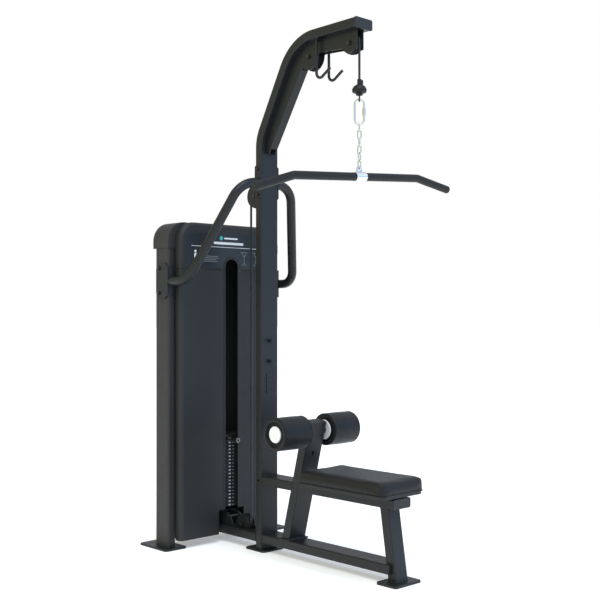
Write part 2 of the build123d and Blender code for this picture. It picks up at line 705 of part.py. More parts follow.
for side, side_name in SIDES:
    add("tower_post_" + side_name, tower_post(side))
    add("foot_plates", foot_plate(side * 250, side * 372, 262, 474, 0, FOOT_T))
add("tower_cross_members", low_cross(-1), low_cross(1), top_cross())
for side, _ in SIDES:
    add("pulley_brackets",
        cheek(side, TOWER_BRACKET, holes=[axle_hole(WHEELS["tower_top"])]))


# ----------------------------------------------------------- tower covers
def arched_block(half_x, y0, y1, z0, z1, radius):
    """Block with its two upper corners rounded, seen along Y."""
    body = block(-half_x, half_x, y0, y1, z0, z1)
    corners = [e for e in body.edges().filter_by(Axis.Y) if e.center().Z > z1 - 1]
    return fillet(corners, radius)


def head_block(half_x, y0, y1, z0, z1, corner, edge):
    """Arched block with its front edge rounded, except along the bottom."""
    body = arched_block(half_x, y0, y1, z0, z1, corner)
    front = body.faces().sort_by(Axis.Y)[0]
    return fillet([e for e in front.edges() if e.center().Z > z0 + 1], edge)


def front_block(half_x, y0, y1, z0, z1, edge):
    """Block with its two front vertical edges rounded."""
    body = block(-half_x, half_x, y0, y1, z0, z1)
    return fillet([e for e in body.edges().filter_by(Axis.Z) if e.center().Y < y0 + 1], edge)


def slot_shape(radius, y0, y1, z0):
    """Upright slot with a round top."""
    return (block(-radius, radius, y0, y1, z0, SLOT_ARC_Z)
            + rod_y(radius, y0, y1, 0, SLOT_ARC_Z))


slot = slot_shape(SLOT_R, 240, 262, 100)
INNER_X, INNER_Y = SHROUD_X - SHEET, SHROUD_Y + SHEET
COVER_BACK, CORNER_R, EDGE_R = 293.5, 85.0, 20


def head_cover():
    z0 = HEAD_Z0 + 1.0
    outer = head_block(SHROUD_X, SHROUD_Y, COVER_BACK, z0, HEAD_Z1, CORNER_R, EDGE_R)
    inner = head_block(INNER_X, INNER_Y, 300, z0 - 5, HEAD_Z1 - SHEET,
                       CORNER_R - SHEET, EDGE_R - SHEET)
    return outer - inner - slot


def front_cover():
    z0, z1 = 37.0, HEAD_Z0 - 1.0
    outer = front_block(SHROUD_X, SHROUD_Y, COVER_BACK, z0, z1, EDGE_R)
    inner = front_block(INNER_X, INNER_Y, 300, z0 - 5, z1 + 5, EDGE_R - SHEET)
    return outer - inner - slot - block(-75, 75, 240, 262, 30, 150)


def top_cap():
    """Arched hood over the posts, open below, with front and back walls."""
    outer = arched_block(POST_X1 + 3.5, 296.5, 414, POST_TOP, HEAD_Z1, 88)
    return outer - arched_block(POST_X1 + 0.5, 299.5, 410.5, POST_TOP - 5, HEAD_Z1 - 3.5, 84.5)


def rear_cover():
    """Shallow pan on the back of the posts, notched over the base beam."""
    pan = block(-302, 302, 400, 413, 44, 1367) - block(-299, 299, 390, 410, 30, 1380)
    return pan - block(-53, 53, 395, 420, 30, 82)


add("tower_head_cover", head_cover())
add("tower_front_cover", front_cover())
add("cover_fittings", slot_shape(SLOT_R + 7, SHROUD_Y - 2.0, SHROUD_Y, 158) - slot)
add("tower_top_cap", top_cap())
add("tower_rear_cover", rear_cover())
# small plates just inside the returns of the front cover
for side, _ in SIDES:
    for z in (250.0, 700.0, 1100.0, 1330.0):
        add("cover_fittings", block(side * 290.5, side * 293, 273, 300, z - 20, z + 20))

# ----------------------------------------------------------- weight stack
STAY_OUTLINE = [(197, 78), (296, 78), (296, 136), (240, 136), (222, 122)]     # (Y, Z)
STAY_BOLT_Y, STAY_BOLT_Z = 236, 118
STAY_X0, STAY_X1 = 28, 33
PIN_HOLE_R, PLATE_HOLE_R = 5.06, 5.4
STEM_R = 12.0
PLATE_BOTTOMS = [PLATE_Z0 + i * PLATE_T for i in range(PLATE_COUNT)]


def stack_seat():
    """Plate under the stack, on two upright ribs each side."""
    seat = block(-205, 205, 296, 390, SEAT_PLATE_Z0, SEAT_PLATE_Z1)
    for side, _ in SIDES:
        seat = seat - rod_z(ROD_R + FIT, 120, 140, side * ROD_X, STACK_Y)
        for rib_x in (side * 66, side * 200):
            seat = seat + block(rib_x - 3, rib_x + 3, 322, 378, BASE_TOP, SEAT_PLATE_Z0)
    return seat


def stack_buffer(side):
    return (rod_z(24, SEAT_PLATE_Z1, PLATE_Z0, side * ROD_X, STACK_Y)
            - rod_z(ROD_R + 0.3, 130, 160, side * ROD_X, STACK_Y))


def base_stay(side):
    stay = yz_plate(STAY_OUTLINE, side * STAY_X0, side * STAY_X1)
    return stay - rod_x(LARGE_HOLE_R, side * (STAY_X0 - 1), side * (STAY_X1 + 1),
                        STAY_BOLT_Y, STAY_BOLT_Z)


def stay_bolt():
    bolt = rod_x(LARGE_BOLT_R, -STAY_X1, STAY_X1, STAY_BOLT_Y, STAY_BOLT_Z)
    for side, _ in SIDES:
        bolt = bolt + hex_x(LARGE_HEX, side * STAY_X1, side * (STAY_X1 + 7),
                            STAY_BOLT_Y, STAY_BOLT_Z)
    return bolt


def stack_block(z0, z1):
    return block(-PLATE_X, PLATE_X, STACK_FRONT, STACK_Y + PLATE_HALF_Y, z0, z1)


def weight_plate(z0):
    z1 = z0 + PLATE_T
    plate = stack_block(z0, z1)
    edges = plate.edges().group_by(Axis.Z)
    plate = chamfer(edges[-1] + edges[0], 1.2)
    plate = plate - rod_z(STEM_R + 1, z0 - 1, z1 + 1, 0, STACK_Y)
    plate = plate - rod_y(PLATE_HOLE_R, STACK_FRONT - 1, STACK_Y, 0, z0 + PLATE_T / 2)
    for side, _ in SIDES:
        plate = plate - rod_z(ROD_R + 0.6, z0 - 1, z1 + 1, side * ROD_X, STACK_Y)
    return plate


def top_plate():
    plate = stack_block(TOP_Z0, TOP_Z1)
    plate = chamfer(plate.edges().group_by(Axis.Z)[-1], 3.0)
    plate = plate - rod_z(STEM_R + FIT, TOP_Z0 - 1, TOP_Z1 + 1, 0, STACK_Y)
    plate = plate - rod_y(PIN_HOLE_R, STACK_FRONT - 1, STACK_Y, 0, PIN_Z)
    for side, _ in SIDES:
        plate = plate - rod_z(14.0, TOP_Z0 - 1, TOP_Z1 + 1, side * ROD_X, STACK_Y)
    return plate


def top_bush(side):
    x = side * ROD_X
    bush = rod_z(14.0, TOP_Z0 + 1, TOP_Z1, x, STACK_Y) + rod_z(18, TOP_Z1, TOP_Z1 + 5, x, STACK_Y)
    return bush - rod_z(ROD_R + 0.08, TOP_Z0 - 1, TOP_Z1 + 9, x, STACK_Y)


def selector_stem():
    """Stem with a collar and a neck above the top plate, and a hole per plate."""
    stem = rod_z(STEM_R, PLATE_Z0 + 4, TOP_Z1 + 4, 0, STACK_Y)
    stem = stem + rod_z(16.0, TOP_Z1, TOP_Z1 + 8, 0, STACK_Y)
    stem = stem + rod_z(9.0, TOP_Z1 + 8, TOP_Z1 + 30, 0, STACK_Y)
    stem = stem - rod_y(PIN_HOLE_R, STACK_Y - 30, STACK_Y + 30, 0, PIN_Z)
    for z0 in PLATE_BOTTOMS:
        stem = stem - rod_y(PLATE_HOLE_R, STACK_Y - 30, STACK_Y + 30, 0, z0 + PLATE_T / 2)
    return stem


def selector_pin():
    return (rod_y(5.0, 220, STACK_Y + 11, 0, PIN_Z) + rod_y(8.0, 272, 292.5, 0, PIN_Z)
            + rod_y(9.0, 220, 226, 0, PIN_Z))


def selector_knob():
    knob = rod_y(14.0, 202, 220, 0, PIN_Z)
    return fillet(knob.edges().sort_by(Axis.Y)[0], 4.0)


add("stack_base", stack_seat())
for side, _ in SIDES:
    add("guide_rods", rod_z(ROD_R, 120, 1371.5, side * ROD_X, STACK_Y))
    add("stack_buffers", stack_buffer(side))
    add("stack_base", base_stay(side))
add("frame_bolts", stay_bolt())
add("weight_plates", *[weight_plate(z0) for z0 in PLATE_BOTTOMS])
add("top_plate", top_plate(), top_bush(-1), top_bush(1))
add("selector_stem", selector_stem())
add("cable_stack", rod_z(CABLE_R, TOP_Z1 + 30, WHEELS["tower_top"].z, 0, STACK_Y))
add("selector_pin", selector_pin(), selector_knob())

# ----------------------------------------------------------------- hanger
# Half section (radius, Z) of the stopper on the hanging cable
STOPPER = [(0, 1970), (14, 1970), (14, 1976), (29, 1982), (30.5, 1994), (24, 2006),
           (12, 2014), (0, 2014)]
EYE_STEM_R = 8.0


def cable_clamp():
    clamp = rod_z(9.0, 2014, 2036, 0, HANG_Y)
    clamp = clamp + block(4, 17, HANG_Y - 6, HANG_Y + 6, 2016, 2034)
    return clamp - rod_z(CABLE_HOLE_R, 2000, 2040, 0, HANG_Y)


def cable_stopper():
    body = revolve(outline_face([(radius, 0, z) for radius, z in STOPPER]), axis=Axis.Z)
    body = Pos(0, HANG_Y, 0) * body - rod_z(CABLE_HOLE_R, 2003.9, 2030, 0, HANG_Y)
    return body - rod_z(EYE_STEM_R + 0.06, 1960, 1994, 0, HANG_Y)


def cable_eye():
    eye = rod_x(13.5, -2.5, 2.5, 0, EYE_Z) + block(-2.5, 2.5, -6, 6, EYE_Z + 9, 1980)
    eye = Pos(0, HANG_Y, 0) * Rot(0, 0, HANGER_TURN) * (eye - rod_x(8.5, -4, 4, 0, EYE_Z))
    return eye + rod_z(EYE_STEM_R, 1976.5, 1993.5, 0, HANG_Y)


def link(z, inner_length, inner_width, wire_r, turn):
    """Upright oval link centred at height z, turned about Z."""
    arc_r = inner_width / 2 + wire_r
    half = inner_length / 2 + wire_r - arc_r
    wire = Wire([
        Line((arc_r, 0, -half), (arc_r, 0, half)).edge(),
        ThreePointArc((arc_r, 0, half), (0, 0, half + arc_r), (-arc_r, 0, half)).edge(),
        Line((-arc_r, 0, half), (-arc_r, 0, -half)).edge(),
        ThreePointArc((-arc_r, 0, -half), (0, 0, -half - arc_r), (arc_r, 0, -half)).edge(),
    ])
    section = Plane(origin=(arc_r, 0, -half), x_dir=(1, 0, 0), z_dir=(0, 0, 1)) * Circle(wire_r)
    return Pos(0, HANG_Y, z) * Rot(0, 0, turn) * sweep(section, path=wire)


CARABINER_WIRE_R, CARABINER_LENGTH, CARABINER_WIDTH = 4.0, 95.0, 30.0    # inner sizes
CARABINER_Z = EYE_Z - 7.6 - CARABINER_LENGTH / 2
LINK_WIRE_R, LINK_LENGTH, LINK_WIDTH, LINK_COUNT = 2.75, 30.9, 9.0, 6
LINK_PITCH = LINK_LENGTH - 0.15
FIRST_LINK_Z = CARABINER_Z - CARABINER_LENGTH / 2 + 0.12 - LINK_LENGTH / 2
LAST_LINK_Z = FIRST_LINK_Z - (LINK_COUNT - 1) * LINK_PITCH
CHAIN_TWIST = -47.0             # extra turn gained from first link to last


def carabiner_sleeve():
    """Sleeve round one long side of the carabiner."""
    offset = CARABINER_WIDTH / 2 + CARABINER_WIRE_R
    x = cos(radians(HANGER_TURN)) * offset
    y = HANG_Y + sin(radians(HANGER_TURN)) * offset
    return (rod_z(7.0, CARABINER_Z - 14, CARABINER_Z + 14, x, y)
            - rod_z(CARABINER_WIRE_R + 0.03, CARABINER_Z - 20, CARABINER_Z + 20, x, y))


def chain_link(i):
    turn = HANGER_TURN + (90 if i % 2 == 0 else 0) + CHAIN_TWIST * i / (LINK_COUNT - 1)
    return link(FIRST_LINK_Z - i * LINK_PITCH, LINK_LENGTH, LINK_WIDTH, LINK_WIRE_R, turn)


add("cable_hanging", rod_z(CABLE_R, 2004, WHEELS["tip"].z, 0, HANG_Y))
add("cable_stopper", cable_clamp(), cable_stopper())
add("cable_eye", cable_eye())
add("carabiner",
    link(CARABINER_Z, CARABINER_LENGTH, CARABINER_WIDTH, CARABINER_WIRE_R, HANGER_TURN),
    carabiner_sleeve())
add("chain", *[chain_link(i) for i in range(LINK_COUNT)])

# -------------------------------------------------------------------- bar
# The bar is modelled along X at the origin, then tilted and lifted into place.
bar_place = Pos(0, HANG_Y, BAR_Z) * Rot(0, -BAR_TILT, 0)
EAR_HOLE_R = 8.0
# ear hole centre above the bar, placed so that the ear hangs on the last link
EAR_Z = LAST_LINK_Z - LINK_LENGTH / 2 - EAR_HOLE_R + 1.75 - BAR_Z
END_X = BAR_MID + BAR_END * cos(radians(BAR_DROP))
END_Z = -BAR_END * sin(radians(BAR_DROP))


def bar_sleeve():
    outline = [(-20, -3, 8), (20, -3, 8), (13, -3, EAR_Z + 4), (-13, -3, EAR_Z + 4)]
    ear = extrude(outline_face(outline), amount=6, dir=(0, 1, 0))
    ear = ear + rod_y(14.0, -3, 3, 0, EAR_Z)
    sleeve = rod_x(19.5, -30.5, 30.5, 0, 0) + ear
    sleeve = sleeve - rod_y(EAR_HOLE_R, -5, 5, 0, EAR_Z)
    return sleeve - rod_x(BAR_R + 0.08, -40, 40, 0, 0)


def lat_bar():
    points = [(-END_X, 0, END_Z), (-BAR_MID, 0, 0), (BAR_MID, 0, 0), (END_X, 0, END_Z)]
    return round_tube(points, [BAR_BEND_R, BAR_BEND_R], BAR_R, BAR_R - 2.5)


def bar_grip(side):
    points = [(side * 31.0, 0, 0), (side * BAR_MID, 0, 0), (side * END_X, 0, END_Z)]
    return round_tube(points, [BAR_BEND_R], GRIP_R, BAR_R)


def bar_end_cap(side):
    end = Vector(side * END_X, 0, END_Z)
    outward = Vector(side * cos(radians(BAR_DROP)), 0, -sin(radians(BAR_DROP)))
    cap = prism(Circle(GRIP_R), end, end + outward * 5, across=(0, 1, 0))
    cap = fillet(cap.edges().sort_by(Axis.X)[-1 if side > 0 else 0], 3.5)
    return cap + prism(Circle(11.45), end - outward * 14, end, across=(0, 1, 0))


add("bar_sleeve", bar_place * bar_sleeve())
add("lat_bar", bar_place * lat_bar())
for side, _ in SIDES:
    add("bar_grips", bar_place * bar_grip(side), bar_place * bar_end_cap(side))

for name, solids in parts.items():
    shape = solids[0] if len(solids) == 1 else Compound(children=solids)
    export_step(shape, "parts/" + name + ".step")
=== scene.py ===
"""Looks for a lat pulldown tower with a padded seat and two thigh rollers.

The front of the machine faces -Y, its left side is -X and +Z is up. The column foot is
centred on the origin, the seat lies in front of it and the two tower posts behind. The
script dresses the CAD pieces in procedural materials, swaps the cushion, rollers and two
cables for detailed meshes, adds marks, prints and weld beads, and sets up the studio.
"""

import math

import bmesh
import bpy
import numpy as np
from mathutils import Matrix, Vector

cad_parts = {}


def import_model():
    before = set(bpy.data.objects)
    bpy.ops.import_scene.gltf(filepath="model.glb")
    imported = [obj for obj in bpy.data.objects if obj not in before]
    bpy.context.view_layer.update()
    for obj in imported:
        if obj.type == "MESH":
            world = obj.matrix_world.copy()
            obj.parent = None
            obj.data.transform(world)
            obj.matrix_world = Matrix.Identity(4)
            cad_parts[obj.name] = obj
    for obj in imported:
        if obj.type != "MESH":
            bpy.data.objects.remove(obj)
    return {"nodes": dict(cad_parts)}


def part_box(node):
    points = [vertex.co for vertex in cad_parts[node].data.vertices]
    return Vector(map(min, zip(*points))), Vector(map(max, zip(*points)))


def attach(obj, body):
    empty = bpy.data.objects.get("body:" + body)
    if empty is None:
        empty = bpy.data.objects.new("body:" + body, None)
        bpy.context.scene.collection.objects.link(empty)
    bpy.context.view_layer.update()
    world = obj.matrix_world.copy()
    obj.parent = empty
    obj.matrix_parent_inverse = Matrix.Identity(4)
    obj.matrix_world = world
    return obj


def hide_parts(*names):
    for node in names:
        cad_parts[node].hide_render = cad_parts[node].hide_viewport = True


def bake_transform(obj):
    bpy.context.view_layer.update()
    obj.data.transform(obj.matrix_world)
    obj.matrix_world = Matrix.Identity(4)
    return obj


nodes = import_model()["nodes"]
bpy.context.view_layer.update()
scene = bpy.context.scene

SIDES = (("left", -1), ("right", 1))


# ---------------------------------------------------------------- shader helpers
def feed(tree, node, inputs):
    """Link or set the inputs of a node; keys are socket names or indices."""
    for key, value in inputs.items():
        socket = node.inputs[key]
        if isinstance(value, bpy.types.NodeSocket):
            tree.links.new(value, socket)
        else:
            socket.default_value = (*value, 1.0) if socket.type == "RGBA" else value


def add_node(tree, kind, inputs, **settings):
    node = tree.nodes.new("ShaderNode" + kind)
    for name, value in settings.items():
        setattr(node, name, value)
    feed(tree, node, inputs)
    return node


def new_material(name):
    material = bpy.data.materials.new(name)
    material.use_nodes = True
    tree = material.node_tree
    tree.nodes.clear()
    output = add_node(tree, "OutputMaterial", {})
    shader = add_node(tree, "BsdfPrincipled", {})
    tree.links.new(shader.outputs[0], output.inputs[0])
    return material, tree, shader


def object_coords(tree, scale=(1, 1, 1)):
    source = add_node(tree, "TexCoord", {})
    inputs = {"Scale": scale, "Vector": source.outputs["Object"]}
    return add_node(tree, "Mapping", inputs).outputs[0]


def noise(tree, vector, scale, detail=3.0, rough=0.5):
    inputs = {"Scale": scale, "Detail": detail, "Roughness": rough, "Vector": vector}
    return add_node(tree, "TexNoise", inputs).outputs["Fac"]


def ramp(tree, value, to, over=(0.3, 0.7)):
    """Map a value from the range `over` to the range `to`."""
    inputs = {"From Min": over[0], "From Max": over[1],
              "To Min": to[0], "To Max": to[1], "Value": value}
    return add_node(tree, "MapRange", inputs).outputs[0]


def mix(tree, factor, first, second):
    inputs = {0: factor, 6: first, 7: second}
    return add_node(tree, "Mix", inputs, data_type="RGBA").outputs[2]


def calc(tree, operation, first, second, clamp=False):
    inputs = {0: first, 1: second}
    return add_node(tree, "Math", inputs, operation=operation, use_clamp=clamp).outputs[0]


def bump(tree, height, strength, distance, normal=None):
    inputs = {"Strength": strength, "Distance": distance, "Height": height}
    if normal is not None:
        inputs["Normal"] = normal
    return add_node(tree, "Bump", inputs).outputs[0]


def bevel(tree, radius):
    return add_node(tree, "Bevel", {"Radius": radius}, samples=4).outputs[0]


def edge_mask(tree, bevelled, gain=9.0):
    """0 on flat faces, towards 1 on rounded-over edges."""
    geometry = add_node(tree, "NewGeometry", {})
    dot = add_node(tree, "VectorMath", {0: bevelled, 1: geometry.outputs["Normal"]},
                   operation="DOT_PRODUCT")
    turned = calc(tree, "SUBTRACT", 1.0, dot.outputs["Value"], clamp=True)
    return calc(tree, "MULTIPLY", turned, gain, clamp=True)


def shade(colour, factor, lift=0.0):
    """Scale a colour, then lift it by a constant."""
    return tuple(c * factor + lift for c in colour)


# --------------------------------------------------------------------- materials
def coat(name, colour, rough, spec, peel=0.35, bevel_radius=0.0014, coat_weight=0.0):
    """Powder coat: orange peel, slow colour drift, faint handling marks, and rounded edges
    painted darker in patches as painted shade.
    """
    material, tree, shader = new_material(name)
    vector = object_coords(tree)
    drift = noise(tree, vector, scale=2.3)
    patches = noise(tree, vector, scale=38.0, detail=4, rough=0.6)
    speckle = noise(tree, vector, scale=1500.0, detail=2)
    scratches = noise(tree, object_coords(tree, scale=(1, 1, 14)),
                      scale=60.0, detail=5, rough=0.7)

    base = mix(tree, ramp(tree, drift, to=(0.0, 1.0)), colour, shade(colour, factor=1.28))
    base = mix(tree, ramp(tree, speckle, to=(0.0, 0.35), over=(0.52, 0.75)),
               base, shade(colour, factor=1.7))
    rounded = bevel(tree, bevel_radius)
    edges = edge_mask(tree, rounded)
    # rounded edges darkened in patches: painted shade standing in for dark outlines along the
    # edges
    edge_shade = calc(tree, "MULTIPLY", edges,
                ramp(tree, patches, to=(0.1, 0.75), over=(0.42, 0.62)))
    edge_shade_colour = (0.0030, 0.0032, 0.0034)
    base = mix(tree, edge_shade, base, edge_shade_colour)

    gloss = calc(tree, "ADD", ramp(tree, patches, to=(rough - 0.05, rough + 0.06)),
                 ramp(tree, scratches, to=(0.0, 0.05), over=(0.55, 0.75)))
    normal = bump(tree, noise(tree, vector, scale=620.0, detail=2),
                  strength=peel, distance=0.00022, normal=rounded)
    normal = bump(tree, speckle, strength=0.12, distance=0.00008, normal=normal)
    feed(tree, shader, {"Base Color": base, "Roughness": gloss,
                        "Specular IOR Level": spec, "Coat Weight": coat_weight,
                        "Coat Roughness": 0.25, "Normal": normal})
    return material


def metal(name, colour, rough, streak, dirt=0.15, streak_scale=(1, 1, 1), metallic=1.0):
    """Plated metal: fine directional polish, cloudy roughness, small dull spots."""
    material, tree, shader = new_material(name)
    vector = object_coords(tree)
    polish = noise(tree, object_coords(tree, scale=streak_scale),
                   scale=420.0, detail=4, rough=0.6)
    clouds = noise(tree, vector, scale=55.0, detail=4, rough=0.6)
    spots = noise(tree, vector, scale=900.0, detail=2)
    base = mix(tree, ramp(tree, clouds, to=(0.0, dirt)), colour, shade(colour, factor=0.55))
    gloss = calc(tree, "ADD",
                 ramp(tree, polish, to=(rough - streak / 2, rough + streak / 2)),
                 ramp(tree, clouds, to=(0.0, 0.08)))
    normal = bump(tree, polish, strength=0.12, distance=0.00006,
                  normal=bevel(tree, radius=0.0006))
    normal = bump(tree, spots, strength=0.06, distance=0.00004, normal=normal)
    feed(tree, shader, {"Base Color": base, "Metallic": metallic,
                        "Roughness": gloss, "Normal": normal})
    return material


def moulded(name, colour, rough, grain=1100.0, grain_strength=0.25, spec=0.4):
    """Moulded plastic or rubber: spark-eroded grain, dusty patches, scuffs."""
    material, tree, shader = new_material(name)
    vector = object_coords(tree)
    cells = add_node(tree, "TexVoronoi", {"Scale": grain, "Vector": vector})
    dust = noise(tree, vector, scale=14.0, detail=5, rough=0.65)
    scuffs = noise(tree, object_coords(tree, scale=(1, 9, 2)),
                   scale=90.0, detail=4, rough=0.7)
    base = mix(tree, ramp(tree, dust, to=(0.0, 0.5), over=(0.45, 0.75)),
               colour, shade(colour, factor=1.9, lift=0.004))
    gloss = calc(tree, "ADD", ramp(tree, dust, to=(rough - 0.04, rough + 0.08)),
                 ramp(tree, scuffs, to=(0.0, 0.07), over=(0.5, 0.8)))
    normal = bump(tree, cells.outputs["Distance"], strength=grain_strength,
                  distance=0.0001, normal=bevel(tree, radius=0.0008))
    feed(tree, shader, {"Base Color": base, "Roughness": gloss,
                        "Specular IOR Level": spec, "Normal": normal})
    return material


def vinyl(name, colour, rough):
    """Artificial leather: pebbled grain with creases and a soft sheen."""
    material, tree, shader = new_material(name)
    vector = object_coords(tree)
    warp = add_node(tree, "TexNoise", {"Scale": 60.0, "Vector": vector})
    warp_reach = (0.004, 0.004, 0.004)
    warped = add_node(tree, "VectorMath", {0: warp.outputs["Color"], 1: warp_reach, 2: vector},
                      operation="MULTIPLY_ADD")
    cells = add_node(tree, "TexVoronoi", {"Scale": 420.0, "Vector": warped.outputs[0]},
                     feature="DISTANCE_TO_EDGE")
    pebbles = cells.outputs["Distance"]
    creases = noise(tree, object_coords(tree, scale=(1, 2.2, 1)),
                    scale=34.0, detail=5, rough=0.62)
    drift = noise(tree, vector, scale=5.0)
    base = mix(tree, ramp(tree, drift, to=(0.0, 1.0)), colour, shade(colour, factor=1.35))
    # valleys between the pebbles painted darker: painted shade in the recesses of the grain
    base = mix(tree, ramp(tree, pebbles, to=(0.45, 0.0), over=(0.0, 0.12)),
               base, shade(colour, factor=0.55))
    gloss = ramp(tree, creases, to=(rough - 0.06, rough + 0.1))
    normal = bump(tree, pebbles, strength=0.35, distance=0.0003)
    normal = bump(tree, creases, strength=0.18, distance=0.0009, normal=normal)
    feed(tree, shader, {"Base Color": base, "Roughness": gloss,
                        "Specular IOR Level": 0.27, "Sheen Weight": 0.12,
                        "Sheen Roughness": 0.4, "Normal": normal})
    return material


def cast(name, colour):
    """Painted cast iron: pitted, slightly uneven gloss, bare edges."""
    material, tree, shader = new_material(name)
    vector = object_coords(tree)
    pits = noise(tree, vector, scale=340.0, detail=6, rough=0.7)
    drift = noise(tree, vector, scale=22.0, detail=4)
    rounded = bevel(tree, radius=0.001)
    bare_iron = (0.12, 0.12, 0.12)
    base = mix(tree, ramp(tree, drift, to=(0.0, 1.0)), colour, shade(colour, factor=1.6))
    base = mix(tree, ramp(tree, edge_mask(tree, rounded), to=(0.0, 0.5), over=(0.0, 1.0)),
               base, bare_iron)
    gloss = ramp(tree, drift, to=(0.38, 0.55))
    normal = bump(tree, pits, strength=0.4, distance=0.0004, normal=rounded)
    feed(tree, shader, {"Base Color": base, "Roughness": gloss, "Normal": normal})
    return material


def printed(name, colour, rough=0.5):
    """Screen-printed ink: tiny mottling and a slight raised film."""
    material, tree, shader = new_material(name)
    mottle = noise(tree, object_coords(tree), scale=900.0)
    base = mix(tree, ramp(tree, mottle, to=(0.0, 0.35)), colour, shade(colour, factor=0.7))
    gloss = ramp(tree, mottle, to=(rough - 0.08, rough + 0.08))
    normal = bump(tree, mottle, strength=0.15, distance=0.00005)
    feed(tree, shader, {"Base Color": base, "Roughness": gloss, "Normal": normal})
    return material


PAINT = coat("frame_powder_coat", (0.0105, 0.0120, 0.0132), rough=0.40, spec=0.30,
             coat_weight=0.05)
COVER = coat("cover_powder_coat", (0.0165, 0.0170, 0.0180), rough=0.52, spec=0.34, peel=0.45)
POST = coat("post_powder_coat", (0.0225, 0.0225, 0.0225), rough=0.50, spec=0.34, peel=0.4)
BLACK_STEEL = coat("black_oxide_steel", (0.012, 0.012, 0.013), rough=0.34, spec=0.5,
                   peel=0.1, bevel_radius=0.0006)
CHROME = metal("chrome_plate", (0.82, 0.83, 0.85), rough=0.10, streak=0.05, dirt=0.1)
# near-white, mostly non-metallic base for the chrome roller caps and collars: painted
# reflection standing in for their bright glare
GLARE_PAINTED_CHROME = metal("chrome_painted_glare", (0.86, 0.87, 0.88), rough=0.38, streak=0.06, dirt=0.06,
              metallic=0.25)
ROD_CHROME = metal("guide_rod_chrome", (0.6, 0.6, 0.62), rough=0.16, streak=0.08,
                   streak_scale=(1, 1, 0.05))
ZINC = metal("zinc_plate", (0.74, 0.72, 0.64), rough=0.24, streak=0.12, dirt=0.35)
PLASTIC = moulded("grained_black_plastic", (0.013, 0.0135, 0.0145), rough=0.46)
CORE = moulded("roller_core_plastic", (0.0045, 0.0045, 0.0048), rough=0.55, spec=0.22)
THREAD = moulded("roller_seam_thread", (0.0028, 0.0030, 0.0034), rough=0.60, grain=900.0,
                 spec=0.20)
NYLON = moulded("turned_nylon", (0.016, 0.016, 0.017), rough=0.38, grain=700.0,
                grain_strength=0.12)
RUBBER = moulded("grip_rubber", (0.0090, 0.0090, 0.0085), rough=0.50, grain=800.0,
                 grain_strength=0.4, spec=0.30)
JACKET = moulded("cable_jacket", (0.010, 0.011, 0.013), rough=0.30, grain=500.0,
                 grain_strength=0.05, spec=0.5)
VINYL = vinyl("artificial_leather", (0.0075, 0.0076, 0.0086), rough=0.46)
ROLLER_VINYL = vinyl("roller_artificial_leather", (0.0045, 0.0056, 0.0072), rough=0.44)
IRON = cast("painted_cast_iron", (0.014, 0.014, 0.015))
INK_WHITE = printed("ink_white", (0.72, 0.74, 0.74))
# pale ink of the small stack marks, also used for the painted highlight ring on the selector
# knob
PALE_INK_AND_HIGHLIGHT = printed("pale_ink_and_painted_highlight", (0.34, 0.35, 0.34))
INK_TEAL = printed("ink_teal", (0.05, 0.42, 0.42))
INK_GREY = printed("ink_grey", (0.16, 0.17, 0.17))
LABEL = printed("label_film", (0.011, 0.012, 0.014), rough=0.34)

# CAD pieces of each material; pulleys are nylon and all other pieces frame paint
PIECES_BY_MATERIAL = (
    (COVER, "tower_head_cover tower_front_cover"),
    (POST, "tower_post_left tower_post_right tower_top_cap tower_rear_cover"),
    (PLASTIC, "tube_end_caps cover_fittings seat_board"),
    (CORE, "roller_core_left roller_core_right"),
    (RUBBER, "cable_stopper bar_grips stack_buffers"),
    (GLARE_PAINTED_CHROME, "roller_chrome"),
    (CHROME, "bar_sleeve"),
    (ROD_CHROME, "guide_rods selector_stem"),
    (ZINC, "carabiner chain"),
    (BLACK_STEEL, "frame_bolts pulley_axles cable_eye selector_pin roller_axle lat_bar"),
    (IRON, "weight_plates top_plate"),
    (JACKET, "cable_main cable_stack cable_hanging"),
)


def paint_cad_pieces():
    by_piece = {piece: material for material, pieces in PIECES_BY_MATERIAL
                for piece in pieces.split()}
    for name, piece in nodes.items():
        is_pulley = name.startswith("pulley_") and name != "pulley_brackets"
        piece.data.materials.clear()
        piece.data.materials.append(by_piece.get(name, NYLON if is_pulley else PAINT))


# ------------------------------------------------------------------ mesh helpers
def shade_smooth(mesh):
    for polygon in mesh.polygons:
        polygon.use_smooth = True


def make(name, verts, faces, material, smooth=True):
    mesh = bpy.data.meshes.new(name)
    mesh.from_pydata([tuple(v) for v in verts], [], faces)
    mesh.validate()
    bm = bmesh.new()
    bm.from_mesh(mesh)
    bmesh.ops.recalc_face_normals(bm, faces=bm.faces)
    bm.to_mesh(mesh)
    bm.free()
    obj = bpy.data.objects.new(name, mesh)
    scene.collection.objects.link(obj)
    mesh.materials.append(material)
    if smooth:
        shade_smooth(mesh)
    return obj


def bake_modifiers(obj):
    depsgraph = bpy.context.evaluated_depsgraph_get()
    mesh = bpy.data.meshes.new_from_object(obj.evaluated_get(depsgraph))
    obj.modifiers.clear()
    obj.data = mesh


def subdivide_and_bake(obj):
    subdivision = obj.modifiers.new("sub", "SUBSURF")
    subdivision.levels = subdivision.render_levels = 1
    bake_modifiers(obj)
    shade_smooth(obj.data)


def set_points(mesh, points):
    mesh.vertices.foreach_set("co", points.astype(np.float32).ravel())


def skin_rings(rings, closed=False):
    """Surface over equal-length rings: joined end to start if closed, else capped."""
    count, size = len(rings), len(rings[0])
    verts = [v for ring in rings for v in ring]
    faces = []
    for i in range(count if closed else count - 1):
        here, there = i * size, (i + 1) % count * size
        for j in range(size):
            k = (j + 1) % size
            faces.append((here + j, here + k, there + k, there + j))
    if not closed:
        faces.append(tuple(range(size - 1, -1, -1)))
        faces.append(tuple((count - 1) * size + j for j in range(size)))
    return verts, faces


